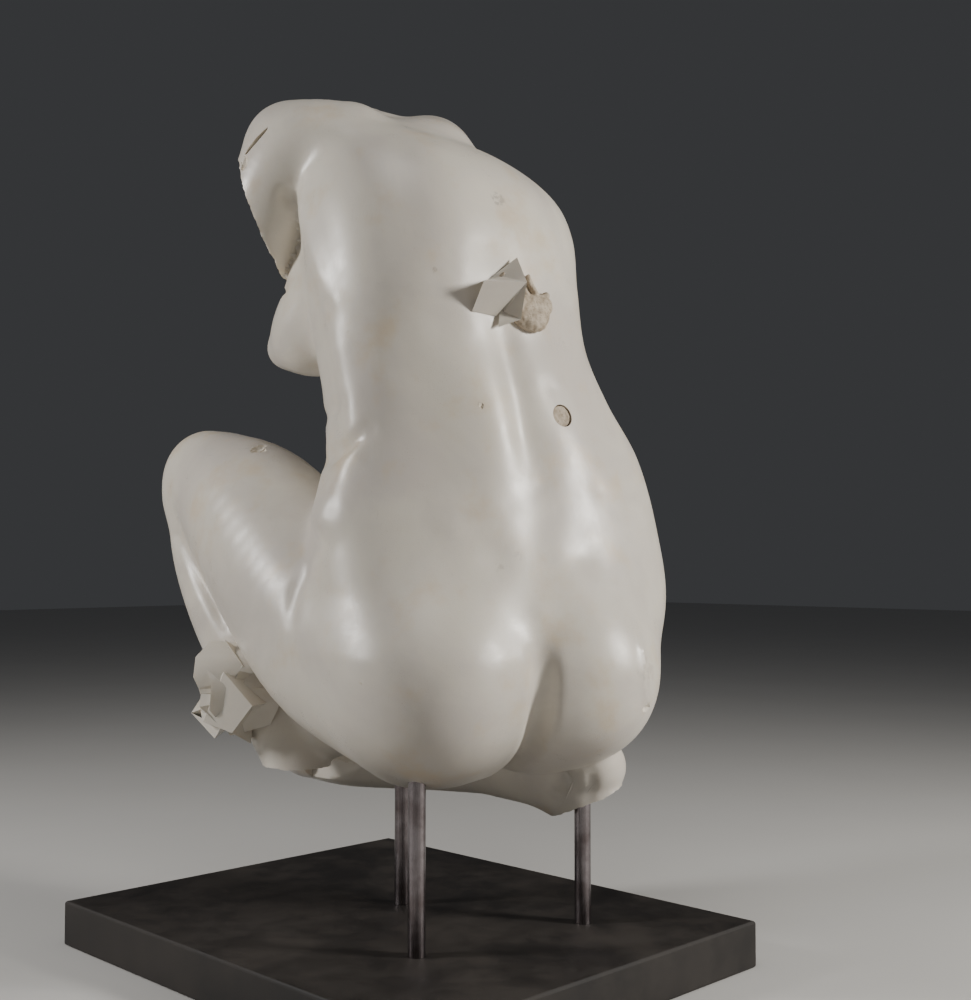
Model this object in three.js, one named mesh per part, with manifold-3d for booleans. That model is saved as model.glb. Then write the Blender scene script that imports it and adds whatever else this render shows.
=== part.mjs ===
// Crouching marble torso without head and arms, held up by three steel rods on a low plinth.
// Millimetres, +Z up. The origin is the centre of the plinth's underside; +X is the figure's left, +Y its back.
import * as THREE from "three";
import { mergeVertices } from "three/addons/utils/BufferGeometryUtils.js";
import Module from "manifold-3d";

const wasm = await Module();
wasm.setup();

// ---------------------------------------------------------------- driving sizes
const PLINTH_WIDTH = 580;
const PLINTH_DEPTH = 720;
const PLINTH_HEIGHT = 60;
const PLINTH_BEVEL = 4;
const FIGURE_X = 5; // the figure's own origin, measured from the plinth's centre
const FIGURE_Y = 65;
const ROD_RADIUS = 10.5;
const ROD_SIDES = 32;
const FIT_GAP = 0.3; // clear space between a rod or plug and its hole
const ROD_FOOT_DEPTH = 40; // how deep each rod sits in the plinth
const PLUG_RADIUS = 14;
const PLUG_DEPTH = 12;
const PLUG_SIDES = 28;
const CELL = 25; // size of the facets that the carved body is made of

// Rods: place on the figure's floor and height of the upper end inside the marble.
const RODS = {
  rod_near: { at: [116, 101], top: 300 },
  rod_right: { at: [-131, 144], top: 215 },
  rod_far: { at: [-30, -90], top: 225 },
};

// Horizontal cuts of the trunk: height, centre, half-width to the left and right, half-depth to the front
// and back, and turn about the vertical in degrees.
const TRUNK = [
  { name: "seat", z: 205, c: [-25, 60], left: 120, right: 110, front: 80, back: 80, turn: -20 },
  { name: "buttocks", z: 262, c: [-25, 60], left: 172, right: 166, front: 120, back: 128, turn: -20 },
  { name: "hips", z: 335, c: [-26, 60], left: 204, right: 229, front: 142, back: 149, turn: -20 },
  { name: "hip joints", z: 405, c: [-28, 60], left: 222, right: 256, front: 150, back: 151, turn: -20 },
  { name: "iliac crest", z: 500, c: [-37, 54], left: 224, right: 250, front: 150, back: 136, turn: -18 },
  { name: "navel", z: 600, c: [-44, 42], left: 204, right: 230, front: 142, back: 128, turn: -15 },
  { name: "waist", z: 675, c: [-36, 27], left: 191, right: 202, front: 140, back: 128, turn: -12 },
  { name: "lower ribs", z: 745, c: [-28, 6], left: 186, right: 193, front: 136, back: 134, turn: -9 },
  { name: "chest", z: 830, c: [-22, -16], left: 183, right: 204, front: 128, back: 148, turn: -6 },
  { name: "shoulder blades", z: 905, c: [-20, -38], left: 176, right: 217, front: 118, back: 157, turn: -5 },
  { name: "upper back", z: 960, c: [-18, -62], left: 164, right: 212, front: 110, back: 151, turn: -4 },
  { name: "shoulders", z: 1010, c: [-14, -100], left: 146, right: 178, front: 96, back: 130, turn: -2 },
  { name: "nape", z: 1045, c: [-10, -140], left: 122, right: 124, front: 76, back: 94, turn: 0 },
  { name: "collar", z: 1075, c: [-8, -172], left: 84, right: 78, front: 50, back: 56, turn: 0 },
];
const TRUNK_SQUARENESS = 2.3; // 2 is an ellipse, more is a squarer cut

// Limbs: stations of x, y, z and radius along the axis.
const LEFT_THIGH = [
  [60, 20, 350, 140],
  [84, -60, 368, 134],
  [92, -150, 430, 122],
  [90, -250, 511, 110],
  [88, -330, 556, 88],
  [88, -384, 580, 72],
];
const LEFT_SHANK = [
  [88, -390, 545, 58],
  [88, -362, 460, 60],
  [88, -304, 375, 62],
  [88, -236, 290, 55],
  [88, -176, 205, 44],
  [88, -150, 140, 40],
];
const RIGHT_THIGH = [
  [-120, 80, 370, 130],
  [-95, -20, 320, 112],
  [-50, -180, 240, 90],
  [-20, -276, 202, 53],
];
const RIGHT_SHANK = [
  [-14, -284, 198, 42],
  [-40, -200, 200, 56],
  [-80, -70, 202, 54],
  [-108, 40, 197, 46],
  [-128, 100, 194, 42],
];
const RIGHT_INSTEP = [
  [-108, 40, 194, 44],
  [-126, 100, 176, 42],
  [-160, 180, 126, 38],
];
const LEFT_UPPER_ARM = [
  [70, -90, 1004, 66],
  [100, -136, 1002, 70],
  [120, -172, 958, 66],
  [132, -204, 888, 56],
];
const RIGHT_UPPER_ARM = [
  [-70, -84, 1008, 72],
  [-108, -128, 1036, 66],
  [-130, -172, 1034, 60],
  [-150, -230, 1008, 52],
];
const NECK = [
  [-18, -108, 996, 68],
  [-18, -156, 1034, 60],
  [-16, -222, 1088, 54],
];

// Furrows along the surface: path, half-width and depth.
const CLEFT = { path: [[30, 226, 356], [24, 217, 305], [14, 196, 262], [0, 160, 226], [-12, 100, 200]], width: 14, depth: 30 };
const SPINE = {
  path: [[14, 205, 400], [0, 186, 470], [-8, 170, 560], [-4, 154, 640], [8, 140, 720], [20, 130, 790], [26, 122, 850], [22, 90, 940]],
  width: 30,
  depth: 8,
};
const BELLY_FOLD = { path: [[130, -70, 604], [60, -112, 600], [-60, -112, 600], [-160, -50, 604]], width: 16, depth: 9 };

// ---------------------------------------------------------------- distances to simple forms
const clamp = (v, lo, hi) => Math.min(Math.max(v, lo), hi);
const length = (x, y, z = 0) => Math.sqrt(x * x + y * y + z * z);

// Two distances joined with a soft blend k wide.
function blend(a, b, k) {
  const h = Math.max(k - Math.abs(a - b), 0) / k;
  return Math.min(a, b) - (h * h * h * k) / 6;
}

// Rotation about Z by `turn`, then about the turned X by `tilt`, in degrees.
function turned(turn, tilt = 0) {
  const q = new THREE.Quaternion().setFromAxisAngle(new THREE.Vector3(0, 0, 1), THREE.MathUtils.degToRad(turn));
  q.multiply(new THREE.Quaternion().setFromAxisAngle(new THREE.Vector3(1, 0, 0), THREE.MathUtils.degToRad(tilt)));
  return q;
}

function ellipsoid([cx, cy, cz], [rx, ry, rz], pose = turned(0)) {
  const e = new THREE.Matrix4().makeRotationFromQuaternion(pose).elements;
  return (x, y, z) => {
    const dx = x - cx;
    const dy = y - cy;
    const dz = z - cz;
    const a = e[0] * dx + e[1] * dy + e[2] * dz;
    const b = e[4] * dx + e[5] * dy + e[6] * dz;
    const c = e[8] * dx + e[9] * dy + e[10] * dz;
    const k0 = length(a / rx, b / ry, c / rz);
    const k1 = length(a / (rx * rx), b / (ry * ry), c / (rz * rz));
    return (k0 * (k0 - 1)) / Math.max(k1, 1e-9);
  };
}

// Points on a Catmull-Rom curve through rows of numbers.
function refined(rows, steps) {
  const first = rows[0].map((v, i) => 2 * v - rows[1][i]);
  const last = rows.at(-1).map((v, i) => 2 * v - rows.at(-2)[i]);
  const all = [first, ...rows, last];
  const out = [];
  for (let s = 0; s < rows.length - 1; s++) {
    for (let k = 0; k < steps; k++) {
      const t = k / steps;
      const [p0, p1, p2, p3] = all.slice(s, s + 4);
      out.push(
        p1.map((v, i) => {
          const b = p2[i] - p0[i];
          const c = 2 * p0[i] - 5 * v + 4 * p2[i] - p3[i];
          const d = 3 * v - p0[i] - 3 * p2[i] + p3[i];
          return 0.5 * (2 * v + b * t + c * t * t + d * t * t * t);
        }),
      );
    }
  }
  out.push(rows.at(-1));
  return out;
}

// Nearest distance to a chain of points, less the radius that runs along it (fourth number, if any).
function chain(points) {
  return (x, y, z) => {
    let best = Infinity;
    for (let i = 0; i + 1 < points.length; i++) {
      const [ax, ay, az, ar = 0] = points[i];
      const [bx, by, bz, br = 0] = points[i + 1];
      const dx = bx - ax;
      const dy = by - ay;
      const dz = bz - az;
      const dot = (x - ax) * dx + (y - ay) * dy + (z - az) * dz;
      const t = clamp(dot / (dx * dx + dy * dy + dz * dz), 0, 1);
      const gap = length(x - ax - t * dx, y - ay - t * dy, z - az - t * dz);
      best = Math.min(best, gap - ar - t * (br - ar));
    }
    return best;
  };
}

// A round limb; flatness below 1 makes it narrower from side to side.
function limb(stations, flatness = 1) {
  const near = chain(refined(stations.map(([x, ...rest]) => [x / flatness, ...rest]), 6));
  return (x, y, z) => near(x / flatness, y, z);
}

// How much a furrow or crease takes off at a point.
function furrow({ path, width, depth }) {
  const near = chain(refined(path, 5));
  return (x, y, z) => depth * Math.exp(-((near(x, y, z) / width) ** 2));
}

// The trunk: its horizontal cuts follow the rows above along smooth curves.
function loft(rows, power) {
  const knots = rows.map((r) => [...r.c, r.left, r.right, r.front, r.back, THREE.MathUtils.degToRad(r.turn)]);
  const slope = (i, k) => {
    const a = Math.max(i - 1, 0);
    const b = Math.min(i + 1, rows.length - 1);
    return (knots[b][k] - knots[a][k]) / (rows[b].z - rows[a].z);
  };
  const slopes = knots.map((row, i) => row.map((_, k) => slope(i, k)));
  const at = (z) => {
    const h = clamp(z, rows[0].z, rows.at(-1).z);
    let i = 0;
    while (i < rows.length - 2 && h > rows[i + 1].z) i++;
    const step = rows[i + 1].z - rows[i].z;
    const t = (h - rows[i].z) / step;
    const t2 = t * t;
    const t3 = t2 * t;
    return knots[i].map(
      (v, k) =>
        (2 * t3 - 3 * t2 + 1) * v +
        (t3 - 2 * t2 + t) * step * slopes[i][k] +
        (3 * t2 - 2 * t3) * knots[i + 1][k] +
        (t3 - t2) * step * slopes[i + 1][k],
    );
  };
  return (x, y, z) => {
    const [cx, cy, left, right, front, back, turn] = at(z);
    const dx = Math.cos(turn) * (x - cx) + Math.sin(turn) * (y - cy);
    const dy = Math.cos(turn) * (y - cy) - Math.sin(turn) * (x - cx);
    const a = dx > 0 ? left : right;
    const b = dy > 0 ? back : front;
    const u = Math.abs(dx) / a + 1e-9;
    const v = Math.abs(dy) / b + 1e-9;
    const rho = (u ** power + v ** power) ** (1 / power);
    const steep = length(u ** (power - 1) / a, v ** (power - 1) / b) * rho ** (1 - power);
    const side = rho < 0.5 ? -0.5 * Math.min(a, b) : (rho - 1) / Math.max(steep, 1e-6);
    const capped = -blend(-side, rows.at(-1).z - z, 30);
    return -blend(-capped, z - rows[0].z, 60);
  };
}

// ---------------------------------------------------------------- the carved body
const PELVIS = [-25, 68, 400];
const CHEST = [-22, -20, 800];

// A point given from the pelvis or the chest, in the figure's frame.
function from(centre, pose, offset) {
  const v = new THREE.Vector3(...offset).applyQuaternion(pose);
  return [centre[0] + v.x, centre[1] + v.y, centre[2] + v.z];
}

const pelvisPose = turned(-20);
const chestPose = turned(-7, 14);

function breast(side, x, y, z) {
  const main = ellipsoid(from(CHEST, chestPose, [x, y, z]), [66, 80, 62], turned(-7 + 8 * side, 26));
  const tip = ellipsoid(from(CHEST, chestPose, [x + 13 * side, y - 76, z - 4]), [26, 30, 25], chestPose);
  const upper = ellipsoid(from(CHEST, chestPose, [x - 4 * side, y + 34, z + 50]), [60, 50, 62], chestPose);
  return (px, py, pz) => blend(blend(main(px, py, pz), tip(px, py, pz), 50), upper(px, py, pz), 60);
}

function carvedBody() {
  const trunk = loft(TRUNK, TRUNK_SQUARENESS);
  const buttocks = [
    ellipsoid(from(PELVIS, pelvisPose, [98, 64, -84]), [114, 116, 114], pelvisPose),
    ellipsoid(from(PELVIS, pelvisPose, [-90, 62, -84]), [112, 116, 110], pelvisPose),
  ];
  const breasts = [breast(1, 98, -122, 10), breast(-1, -92, -114, 14)];
  const leftArm = limb(LEFT_UPPER_ARM);
  const leftShoulder = ellipsoid([104, -176, 1022], [56, 60, 60]);
  const rightArm = limb(RIGHT_UPPER_ARM);
  const neck = limb(NECK);
  const leftThigh = limb(LEFT_THIGH, 0.88);
  const leftShank = limb(LEFT_SHANK);
  const leftKnee = ellipsoid([88, -403, 566], [56, 46, 64]);
  const webBetweenLegs = ellipsoid([50, -170, 285], [62, 100, 80], turned(0, -35));
  const rightThigh = limb(RIGHT_THIGH, 0.95);
  const rightShank = limb(RIGHT_SHANK);
  const rightInstep = limb(RIGHT_INSTEP);
  const rightHeel = ellipsoid([-143, 150, 198], [43, 44, 42]);
  const furrows = [CLEFT, SPINE, BELLY_FOLD].map(furrow);

  return (x, y, z) => {
    let d = trunk(x, y, z);
    for (const f of buttocks) d = blend(d, f(x, y, z), 80);
    for (const f of breasts) d = blend(d, f(x, y, z), 44);
    // The armpit is a deep fold that runs out over the top of the shoulder.
    d = blend(d, blend(leftArm(x, y, z), leftShoulder(x, y, z), 40), 20 + 30 * clamp((z - 950) / 60, 0, 1));
    d = blend(d, rightArm(x, y, z), 40);
    d = blend(d, neck(x, y, z), 50);
    const shank = blend(leftShank(x, y, z), leftKnee(x, y, z), 30);
    const leftLeg = blend(blend(leftThigh(x, y, z), shank, 22), webBetweenLegs(x, y, z), 20);
    // The groin is a crisp fold in front and runs out softly under the hip.
    d = blend(d, leftLeg, 24 + 76 * clamp((470 - z) / 90, 0, 1));
    const foot = blend(rightInstep(x, y, z), rightHeel(x, y, z), 16);
    const rightLeg = blend(rightThigh(x, y, z), blend(rightShank(x, y, z), foot, 24), 14);
    d = blend(d, rightLeg, 22);
    for (const f of furrows) d += f(x, y, z);
    return d;
  };
}

// Surface net: one vertex in each grid cell that the surface crosses, pulled onto the surface.
function netted(field, low, high, cell) {
  const n = low.map((v, i) => Math.ceil((high[i] - v) / cell) + 1);
  const index = (i, j, k) => (i * n[1] + j) * n[2] + k;
  const value = new Float64Array(n[0] * n[1] * n[2]);
  for (let i = 0; i < n[0]; i++)
    for (let j = 0; j < n[1]; j++)
      for (let k = 0; k < n[2]; k++)
        value[index(i, j, k)] = field(low[0] + i * cell, low[1] + j * cell, low[2] + k * cell);

  // Where two parts would meet only along an edge, the corner between them is filled.
  for (let filled = 1; filled; ) {
    filled = 0;
    for (let axis = 0; axis < 3; axis++) {
      const [u, v] = [(axis + 1) % 3, (axis + 2) % 3];
      const at = [0, 0, 0];
      for (at[axis] = 0; at[axis] < n[axis]; at[axis]++)
        for (at[u] = 0; at[u] + 1 < n[u]; at[u]++)
          for (at[v] = 0; at[v] + 1 < n[v]; at[v]++) {
            const ring = [[0, 0], [1, 0], [1, 1], [0, 1]].map(([a, b]) => {
              const c = [...at];
              c[u] += a;
              c[v] += b;
              return index(...c);
            });
            const inside = ring.map((q) => value[q] < 0);
            if (inside[0] !== inside[2] || inside[1] !== inside[3] || inside[0] === inside[1]) continue;
            const open = ring.filter((_, q) => !inside[q]);
            value[value[open[0]] < value[open[1]] ? open[0] : open[1]] = -0.05 * cell;
            filled++;
          }
    }
  }

  const corners = [...Array(8).keys()].map((b) => [b & 1, (b >> 1) & 1, (b >> 2) & 1]);
  const edges = [];
  for (let a = 0; a < 8; a++)
    for (const bit of [1, 2, 4]) if (!(a & bit)) edges.push([a, a | bit]);

  const vertexOf = new Int32Array(value.length).fill(-1);
  const points = [];
  for (let i = 0; i + 1 < n[0]; i++)
    for (let j = 0; j + 1 < n[1]; j++)
      for (let k = 0; k + 1 < n[2]; k++) {
        const f = corners.map(([a, b, c]) => value[index(i + a, j + b, k + c)]);
        const sum = [0, 0, 0];
        let hits = 0;
        for (const [a, b] of edges) {
          if (f[a] < 0 === f[b] < 0) continue;
          const t = f[a] / (f[a] - f[b]);
          for (let m = 0; m < 3; m++) sum[m] += corners[a][m] + t * (corners[b][m] - corners[a][m]);
          hits++;
        }
        if (!hits) continue;
        vertexOf[index(i, j, k)] = points.length;
        points.push([i, j, k].map((v, m) => low[m] + (v + sum[m] / hits) * cell));
      }

  const triangles = [];
  for (let axis = 0; axis < 3; axis++) {
    const [u, v] = [(axis + 1) % 3, (axis + 2) % 3];
    const at = [0, 0, 0];
    for (at[axis] = 0; at[axis] + 1 < n[axis]; at[axis]++)
      for (at[u] = 1; at[u] + 1 < n[u]; at[u]++)
        for (at[v] = 1; at[v] + 1 < n[v]; at[v]++) {
          const next = [...at];
          next[axis]++;
          const inside = value[index(...at)] < 0;
          if (inside === value[index(...next)] < 0) continue;
          const quad = [[0, 0], [1, 0], [1, 1], [0, 1]].map(([a, b]) => {
            const c = [...at];
            c[u] -= a;
            c[v] -= b;
            return vertexOf[index(...c)];
          });
          if (!inside) quad.reverse();
          const far = (a, b) => length(...points[a].map((p, m) => p - points[b][m]));
          const [a, b, c, d] = quad;
          if (far(a, c) < far(b, d)) triangles.push(a, b, c, a, c, d);
          else triangles.push(b, c, d, b, d, a);
        }
  }

  // Each vertex moves towards its neighbours and back onto the surface, within its own cell.
  const around = points.map(() => new Set());
  for (let t = 0; t < triangles.length; t += 3) {
    const [a, b, c] = triangles.slice(t, t + 3);
    around[a].add(b).add(c);
    around[b].add(c).add(a);
    around[c].add(a).add(b);
  }
  const starts = points.map((p) => [...p]);
  const reach = 0.42 * cell;
  for (let pass = 0; pass < 4; pass++) {
    const before = points.map((p) => [...p]);
    for (const [i, p] of points.entries()) {
      const near = [...around[i]];
      const middle = p.map((_, m) => near.reduce((sum, q) => sum + before[q][m], 0) / near.length);
      const moved = p.map((v, m) => v + 0.5 * (middle[m] - v));
      const f = field(...moved);
      const g = [0, 1, 2].map((m) => field(...moved.map((v, q) => (q === m ? v + 1 : v))) - f);
      const move = f / Math.max(g[0] * g[0] + g[1] * g[1] + g[2] * g[2], 0.25);
      for (let m = 0; m < 3; m++) {
        p[m] = clamp(moved[m] - move * g[m], starts[i][m] - reach, starts[i][m] + reach);
      }
    }
  }

  const geometry = new THREE.BufferGeometry();
  geometry.setAttribute("position", new THREE.Float32BufferAttribute(points.flat(), 3));
  geometry.setIndex(triangles);
  return geometry;
}

// ---------------------------------------------------------------- solids that are joined and cut
// Positions and faces alone, with the doubled vertices of a three.js shape merged.
function welded(geometry) {
  geometry.deleteAttribute("normal");
  geometry.deleteAttribute("uv");
  return mergeVertices(geometry, 1e-4);
}

function solid(geometry) {
  return new wasm.Manifold(
    new wasm.Mesh({
      numProp: 3,
      vertProperties: geometry.attributes.position.array,
      triVerts: new Uint32Array(geometry.index.array),
    }),
  );
}

// A block that starts at `point` and reaches `deep` along `normal`.
function block(point, normal, across, along, deep) {
  const n = new THREE.Vector3(...normal).normalize();
  const side = new THREE.Vector3(0, 0, 1).cross(n);
  if (side.length() < 0.01) side.set(1, 0, 0);
  side.normalize();
  const up = new THREE.Vector3().crossVectors(n, side);
  const centre = new THREE.Vector3(...point).addScaledVector(n, deep / 2);
  const pose = new THREE.Matrix4().makeBasis(side, up, n).setPosition(centre);
  return welded(new THREE.BoxGeometry(across, along, deep)).applyMatrix4(pose);
}

// A round bar along `axis`, from `low` to `high` past `point`.
function bar(radius, point, axis, low, high, sides) {
  const pose = new THREE.Quaternion().setFromUnitVectors(
    new THREE.Vector3(0, 1, 0),
    new THREE.Vector3(...axis).normalize(),
  );
  const g = welded(new THREE.CylinderGeometry(radius, radius, high - low, sides));
  return g.translate(0, (low + high) / 2, 0).applyQuaternion(pose).translate(...point);
}

const upright = (radius, at, low, high) => bar(radius, [...at, 0], [0, 0, 1], low, high, ROD_SIDES);

function egg(centre, radii, axis) {
  const pose = new THREE.Quaternion().setFromUnitVectors(
    new THREE.Vector3(0, 0, 1),
    new THREE.Vector3(...axis).normalize(),
  );
  const g = welded(new THREE.IcosahedronGeometry(1, 1)).scale(...radii);
  return g.applyQuaternion(pose).translate(...centre);
}

// Fractured and sawn ends: a point on the face, its outward normal, and how far the missing part reached.
const BREAKS = {
  leftArm: block([125, -208, 940], [0.62, -0.72, -0.33], 170, 260, 160),
  rightArm: block([-140, -195, 1020], [-0.5, -0.8, 0.1], 150, 150, 120),
  neck: block([0, -190, 1064], [0, -0.55, 0.83], 150, 190, 100),
  leftShank: block([88, -170, 191], [0, 0, -1], 170, 150, 120),
  rightFoot: block([-137, 150, 156], [-0.3, 0.3, -0.91], 200, 130, 120),
};

const PLUG = { point: [-65, 168.5, 643], axis: [0.13, 0.97, 0.2] };
const HAND = { centre: [-36, 140, 772], normal: [0.15, 0.98, 0.1] };
const FINGERS = [
  [[-4, 134, 784], [21, 131, 800]],
  [[-17, 134, 792], [11, 131, 813]],
  [[-36, 136, 796], [-10, 131, 819]],
  [[-50, 138, 796], [-36, 133, 820]],
];

function marbleTorso() {
  let marble = solid(netted(carvedBody(), [-330, -520, 60], [330, 300, 1150], CELL));
  for (const cut of Object.values(BREAKS)) marble = marble.subtract(solid(cut));
  marble = marble.add(solid(egg(HAND.centre, [37, 27, 20], HAND.normal)));
  for (const [base, tip] of FINGERS) {
    const axis = tip.map((v, i) => v - base[i]);
    const middle = base.map((v, i) => (v + tip[i]) / 2);
    marble = marble.add(solid(egg(middle, [6.5, 6.5, length(...axis) / 2 + 6], axis)));
  }
  marble = marble.add(solid(block([126, -226, 294], [0.9, 0.3, 0.1], 34, 58, 32)));
  const hole = bar(PLUG_RADIUS + FIT_GAP, PLUG.point, PLUG.axis, -PLUG_DEPTH - FIT_GAP, 20, PLUG_SIDES);
  marble = marble.subtract(solid(hole));
  for (const { at, top } of Object.values(RODS)) {
    marble = marble.subtract(solid(upright(ROD_RADIUS + FIT_GAP, at, 0, top + FIT_GAP)));
  }
  return marble;
}

function toGeometry(made) {
  const mesh = made.getMesh();
  const geometry = new THREE.BufferGeometry();
  geometry.setAttribute("position", new THREE.Float32BufferAttribute(mesh.vertProperties, 3));
  geometry.setIndex([...mesh.triVerts]);
  const flat = geometry.toNonIndexed();
  flat.computeVertexNormals();
  return flat;
}

// ---------------------------------------------------------------- the group of named pieces
const group = new THREE.Group();

function piece(name, geometry, color, roughness, metalness) {
  const mesh = new THREE.Mesh(geometry, new THREE.MeshStandardMaterial({ color, roughness, metalness }));
  mesh.name = name;
  group.add(mesh);
  return mesh;
}

const torso = piece("torso", toGeometry(marbleTorso()), 0xe8e2d8, 0.35, 0);
torso.position.set(FIGURE_X, FIGURE_Y, PLINTH_HEIGHT);

const plugShape = bar(PLUG_RADIUS, PLUG.point, PLUG.axis, -PLUG_DEPTH, 0, PLUG_SIDES);
const plug = piece("back_plug", plugShape, 0xb9ad9c, 0.6, 0);
plug.position.copy(torso.position);

for (const [name, { at, top }] of Object.entries(RODS)) {
  const rod = piece(name, upright(ROD_RADIUS, at, -ROD_FOOT_DEPTH, top), 0x3a3a3c, 0.3, 1);
  rod.position.set(FIGURE_X, FIGURE_Y, PLINTH_HEIGHT);
}

function plinthSlab() {
  const w = PLINTH_WIDTH / 2 - PLINTH_BEVEL;
  const d = PLINTH_DEPTH / 2 - PLINTH_BEVEL;
  const outline = new THREE.Shape([[-w, -d], [w, -d], [w, d], [-w, d]].map((p) => new THREE.Vector2(...p)));
  const slab = new THREE.ExtrudeGeometry(outline, {
    depth: PLINTH_HEIGHT - 2 * PLINTH_BEVEL,
    bevelSize: PLINTH_BEVEL,
    bevelThickness: PLINTH_BEVEL,
    bevelSegments: 3,
  });
  let made = solid(welded(slab).translate(0, 0, PLINTH_BEVEL));
  for (const { at } of Object.values(RODS)) {
    const [x, y] = [at[0] + FIGURE_X, at[1] + FIGURE_Y];
    const floor = PLINTH_HEIGHT - ROD_FOOT_DEPTH - FIT_GAP;
    made = made.subtract(solid(upright(ROD_RADIUS + FIT_GAP, [x, y], floor, PLINTH_HEIGHT + 10)));
  }
  return made;
}
piece("plinth", toGeometry(plinthSlab()), 0x14110f, 0.6, 0);

export default group;
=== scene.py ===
"""Crouching marble torso on three steel rods and a low dark plinth.

Metres, +Z up. The origin is the centre of the plinth's underside, +X is the figure's left and +Y its back.
"""

import math

import bmesh
import bpy
import numpy as np
from mathutils import Matrix, Vector, noise


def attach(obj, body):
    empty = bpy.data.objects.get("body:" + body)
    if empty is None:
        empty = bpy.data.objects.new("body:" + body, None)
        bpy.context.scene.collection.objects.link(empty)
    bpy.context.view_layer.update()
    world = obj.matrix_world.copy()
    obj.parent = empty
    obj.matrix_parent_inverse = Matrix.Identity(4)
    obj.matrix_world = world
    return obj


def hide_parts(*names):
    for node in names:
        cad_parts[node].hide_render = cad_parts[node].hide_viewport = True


bl_info = {
    "name": "Marble Torso",
    "version": (1, 0, 0),
    "blender": (4, 5, 0),
    "location": "View3D > Sidebar > Marble Torso",
    "description": "Builds a crouching marble torso on steel rods and a low plinth",
    "category": "Add Mesh",
}

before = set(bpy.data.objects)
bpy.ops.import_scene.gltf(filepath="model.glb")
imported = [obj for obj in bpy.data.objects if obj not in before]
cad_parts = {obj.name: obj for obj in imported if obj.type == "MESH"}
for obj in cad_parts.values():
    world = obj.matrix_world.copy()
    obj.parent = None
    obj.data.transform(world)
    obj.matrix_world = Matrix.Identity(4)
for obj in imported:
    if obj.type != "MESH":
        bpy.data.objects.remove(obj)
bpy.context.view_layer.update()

# The figure's own origin on the plinth's top, in millimetres, as the solids place it.
FIGURE_ORIGIN = np.array([5.0, 65.0, 60.0])


# ---------------------------------------------------------------- carved form, in millimetres
def join_soft(a, b, k):
    """Two distances joined with a soft blend k wide."""
    h = np.maximum(k - np.abs(a - b), 0) / k
    return np.minimum(a, b) - h * h * h * k / 6


def cut_soft(a, b, k):
    """The part of a that is also inside b, with a soft edge."""
    return -join_soft(-a, -b, k)


def turned(turn=0.0, tilt=0.0):
    """Rotation about Z by turn, then about the turned X by tilt, in degrees."""
    a, b = math.radians(turn), math.radians(tilt)
    about_z = np.array([[math.cos(a), -math.sin(a), 0], [math.sin(a), math.cos(a), 0], [0, 0, 1]])
    about_x = np.array([[1, 0, 0], [0, math.cos(b), -math.sin(b)], [0, math.sin(b), math.cos(b)]])
    return about_z @ about_x


def placed(centre, pose, offset):
    """A point given from a centre along turned axes."""
    return np.asarray(centre, float) + pose @ np.asarray(offset, float)


def refined(rows, steps):
    """Points on a smooth curve through rows of numbers."""
    rows = np.asarray(rows, float)
    ends = np.vstack([2 * rows[0] - rows[1], rows, 2 * rows[-1] - rows[-2]])
    out = []
    for p0, p1, p2, p3 in zip(ends, ends[1:], ends[2:], ends[3:]):
        for t in np.arange(steps) / steps:
            b = p2 - p0
            c = 2 * p0 - 5 * p1 + 4 * p2 - p3
            d = 3 * p1 - p0 - 3 * p2 + p3
            out.append(0.5 * (2 * p1 + b * t + c * t * t + d * t ** 3))
    out.append(rows[-1])
    return np.array(out)


# How far round itself a solid form is worked out, and the distance that stands for "not near".
FORM_REACH, FORM_FAR = 90, 1e3
# Points that a smooth curve gets between two given ones.
LIMB_STEPS, STROKE_STEPS = 6, 5


class Form:
    """A simple form that is only worked out near itself."""

    def __init__(self, low, high, reach, far):
        self.low = np.asarray(low, float) - reach
        self.high = np.asarray(high, float) + reach
        self.far = far

    def __call__(self, points):
        near = ((points > self.low) & (points < self.high)).all(axis=1)
        out = np.full(len(points), self.far)
        if near.any():
            out[near] = self.measure(points[near])
        return out


class Ellipsoid(Form):
    """An ellipsoid along the axes of its pose."""

    def __init__(self, centre, radii, pose=None):
        self.centre = np.asarray(centre, float)
        self.radii = np.asarray(radii, float)
        self.pose = np.eye(3) if pose is None else pose
        r = self.radii.max()
        super().__init__(self.centre - r, self.centre + r, FORM_REACH, FORM_FAR)

    def measure(self, points):
        q = (points - self.centre) @ self.pose
        k0 = np.sqrt(((q / self.radii) ** 2).sum(1))
        k1 = np.sqrt(((q / self.radii ** 2) ** 2).sum(1))
        return k0 * (k0 - 1) / np.maximum(k1, 1e-9)


def chain_distance(points, stations):
    """Nearest distance to a chain of stations, less the radius in their fourth column."""
    best = np.full(len(points), 1e9)
    for a, b in zip(stations, stations[1:]):
        run = b[:3] - a[:3]
        t = np.clip(((points - a[:3]) @ run) / max(run @ run, 1e-9), 0, 1)
        gap = np.linalg.norm(points - a[:3] - t[:, None] * run, axis=1)
        best = np.minimum(best, gap - a[3] - t * (b[3] - a[3]))
    return best


class Limb(Form):
    """A round limb along stations of x, y, z and radius; flatness below 1 makes it narrower."""

    def __init__(self, stations, flatness=1.0):
        self.squeeze = np.array([1 / flatness, 1, 1])
        rows = np.asarray(stations, float)
        low = (rows[:, :3] - rows[:, 3:]).min(0)
        high = (rows[:, :3] + rows[:, 3:]).max(0)
        rows = rows * np.append(self.squeeze, 1)
        self.stations = refined(rows, LIMB_STEPS)
        super().__init__(low, high, FORM_REACH, FORM_FAR)

    def measure(self, points):
        return chain_distance(points * self.squeeze, self.stations)


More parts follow.
